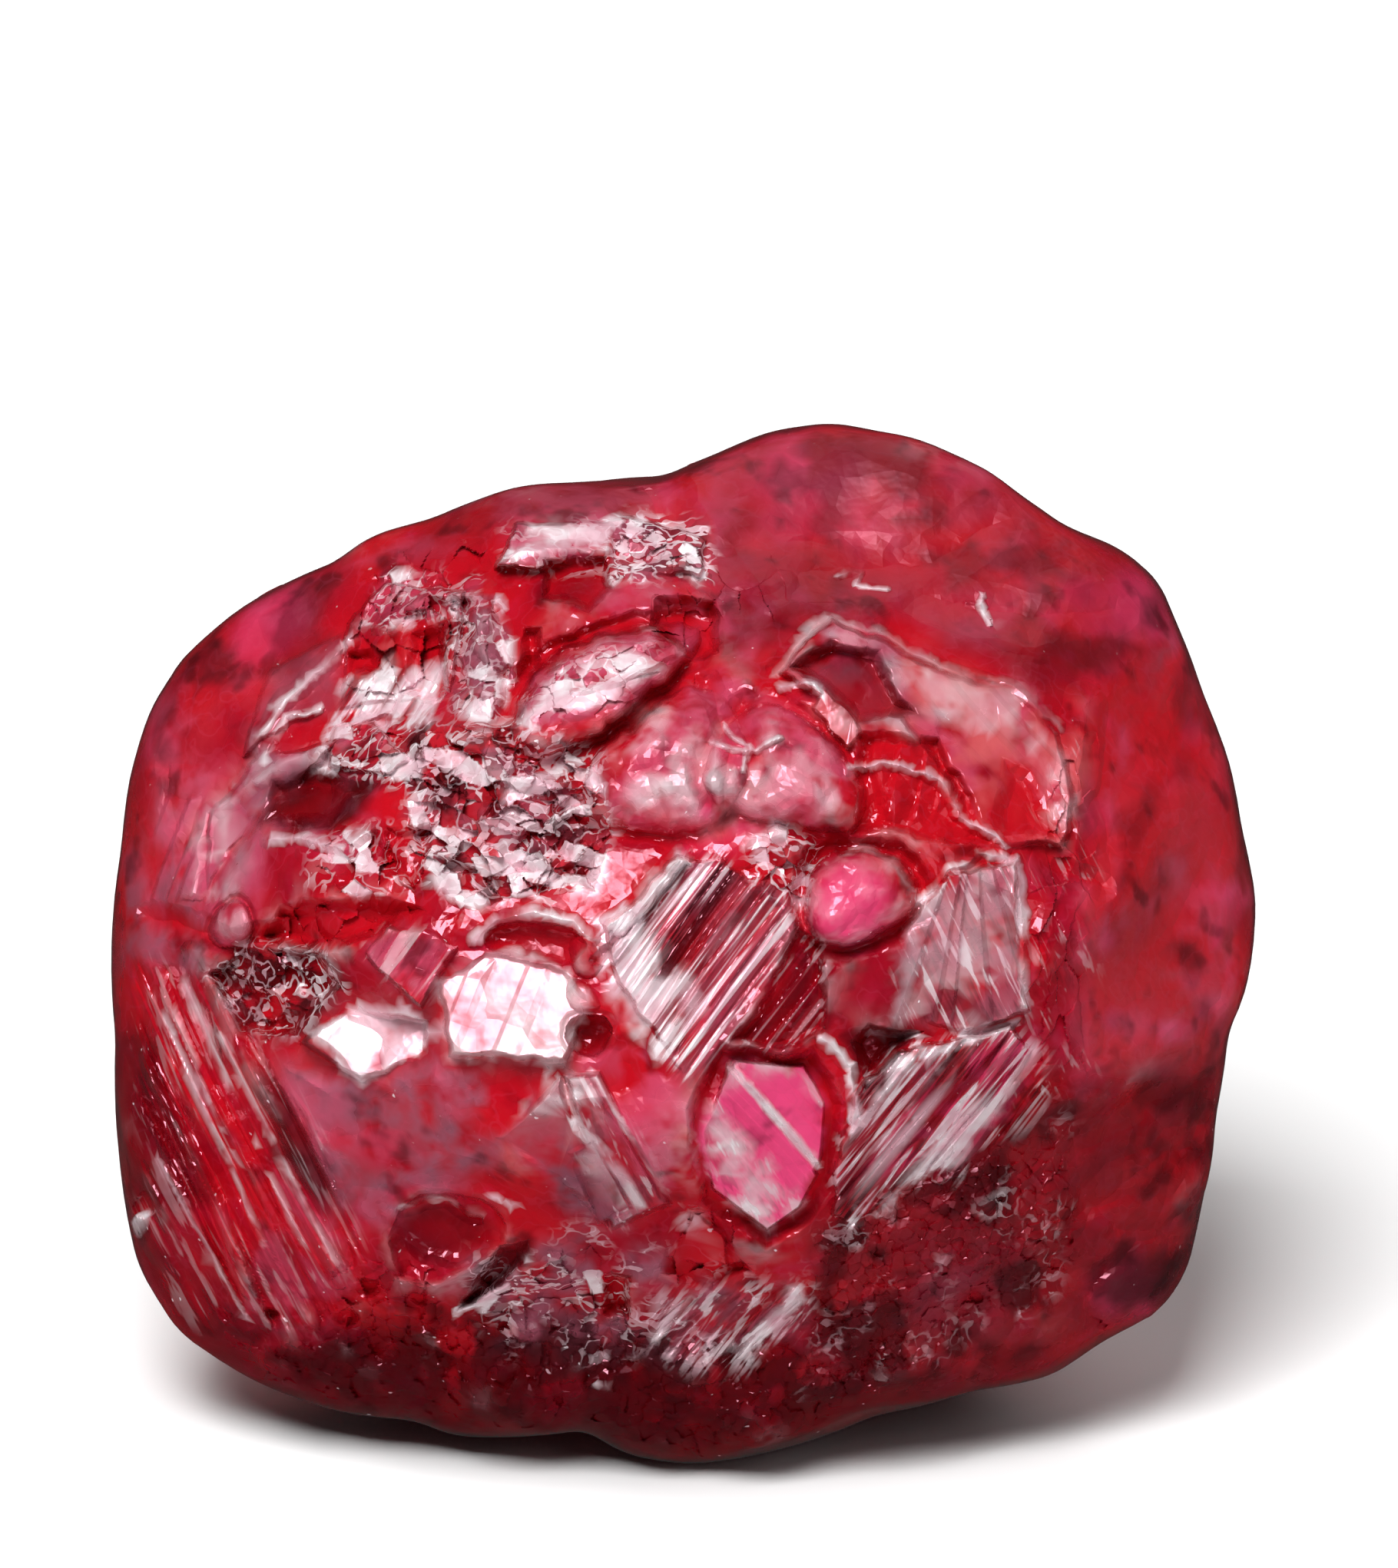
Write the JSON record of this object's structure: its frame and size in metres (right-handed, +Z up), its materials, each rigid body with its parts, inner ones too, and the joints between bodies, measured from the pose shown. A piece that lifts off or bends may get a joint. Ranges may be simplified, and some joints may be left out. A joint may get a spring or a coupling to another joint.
{
  "type": "rough diamond",
  "caption": "Rough, uncut crimson crystal with a lumpy, stepped and pitted surface, window-like crystal faces, and one flat cleavage face that it rests on.",
  "frame": {"origin": "middle of the bounding box at the height of the flat face that the stone rests on", "axes": "+Z up from the flat rest face, +X to the right as seen from the front, along the stone's greatest width, -Y towards the front"},
  "size_m": [0.012, 0.0102, 0.0102],
  "materials": {
    "diamond": "deep crimson translucent crystal with an adamantine lustre: glossy on fresh faces, frosted grey-pink on raised worn ones"
  },
  "bodies": {
    "root": {"rough_diamond": "diamond"}
  },
  "joints": []
}
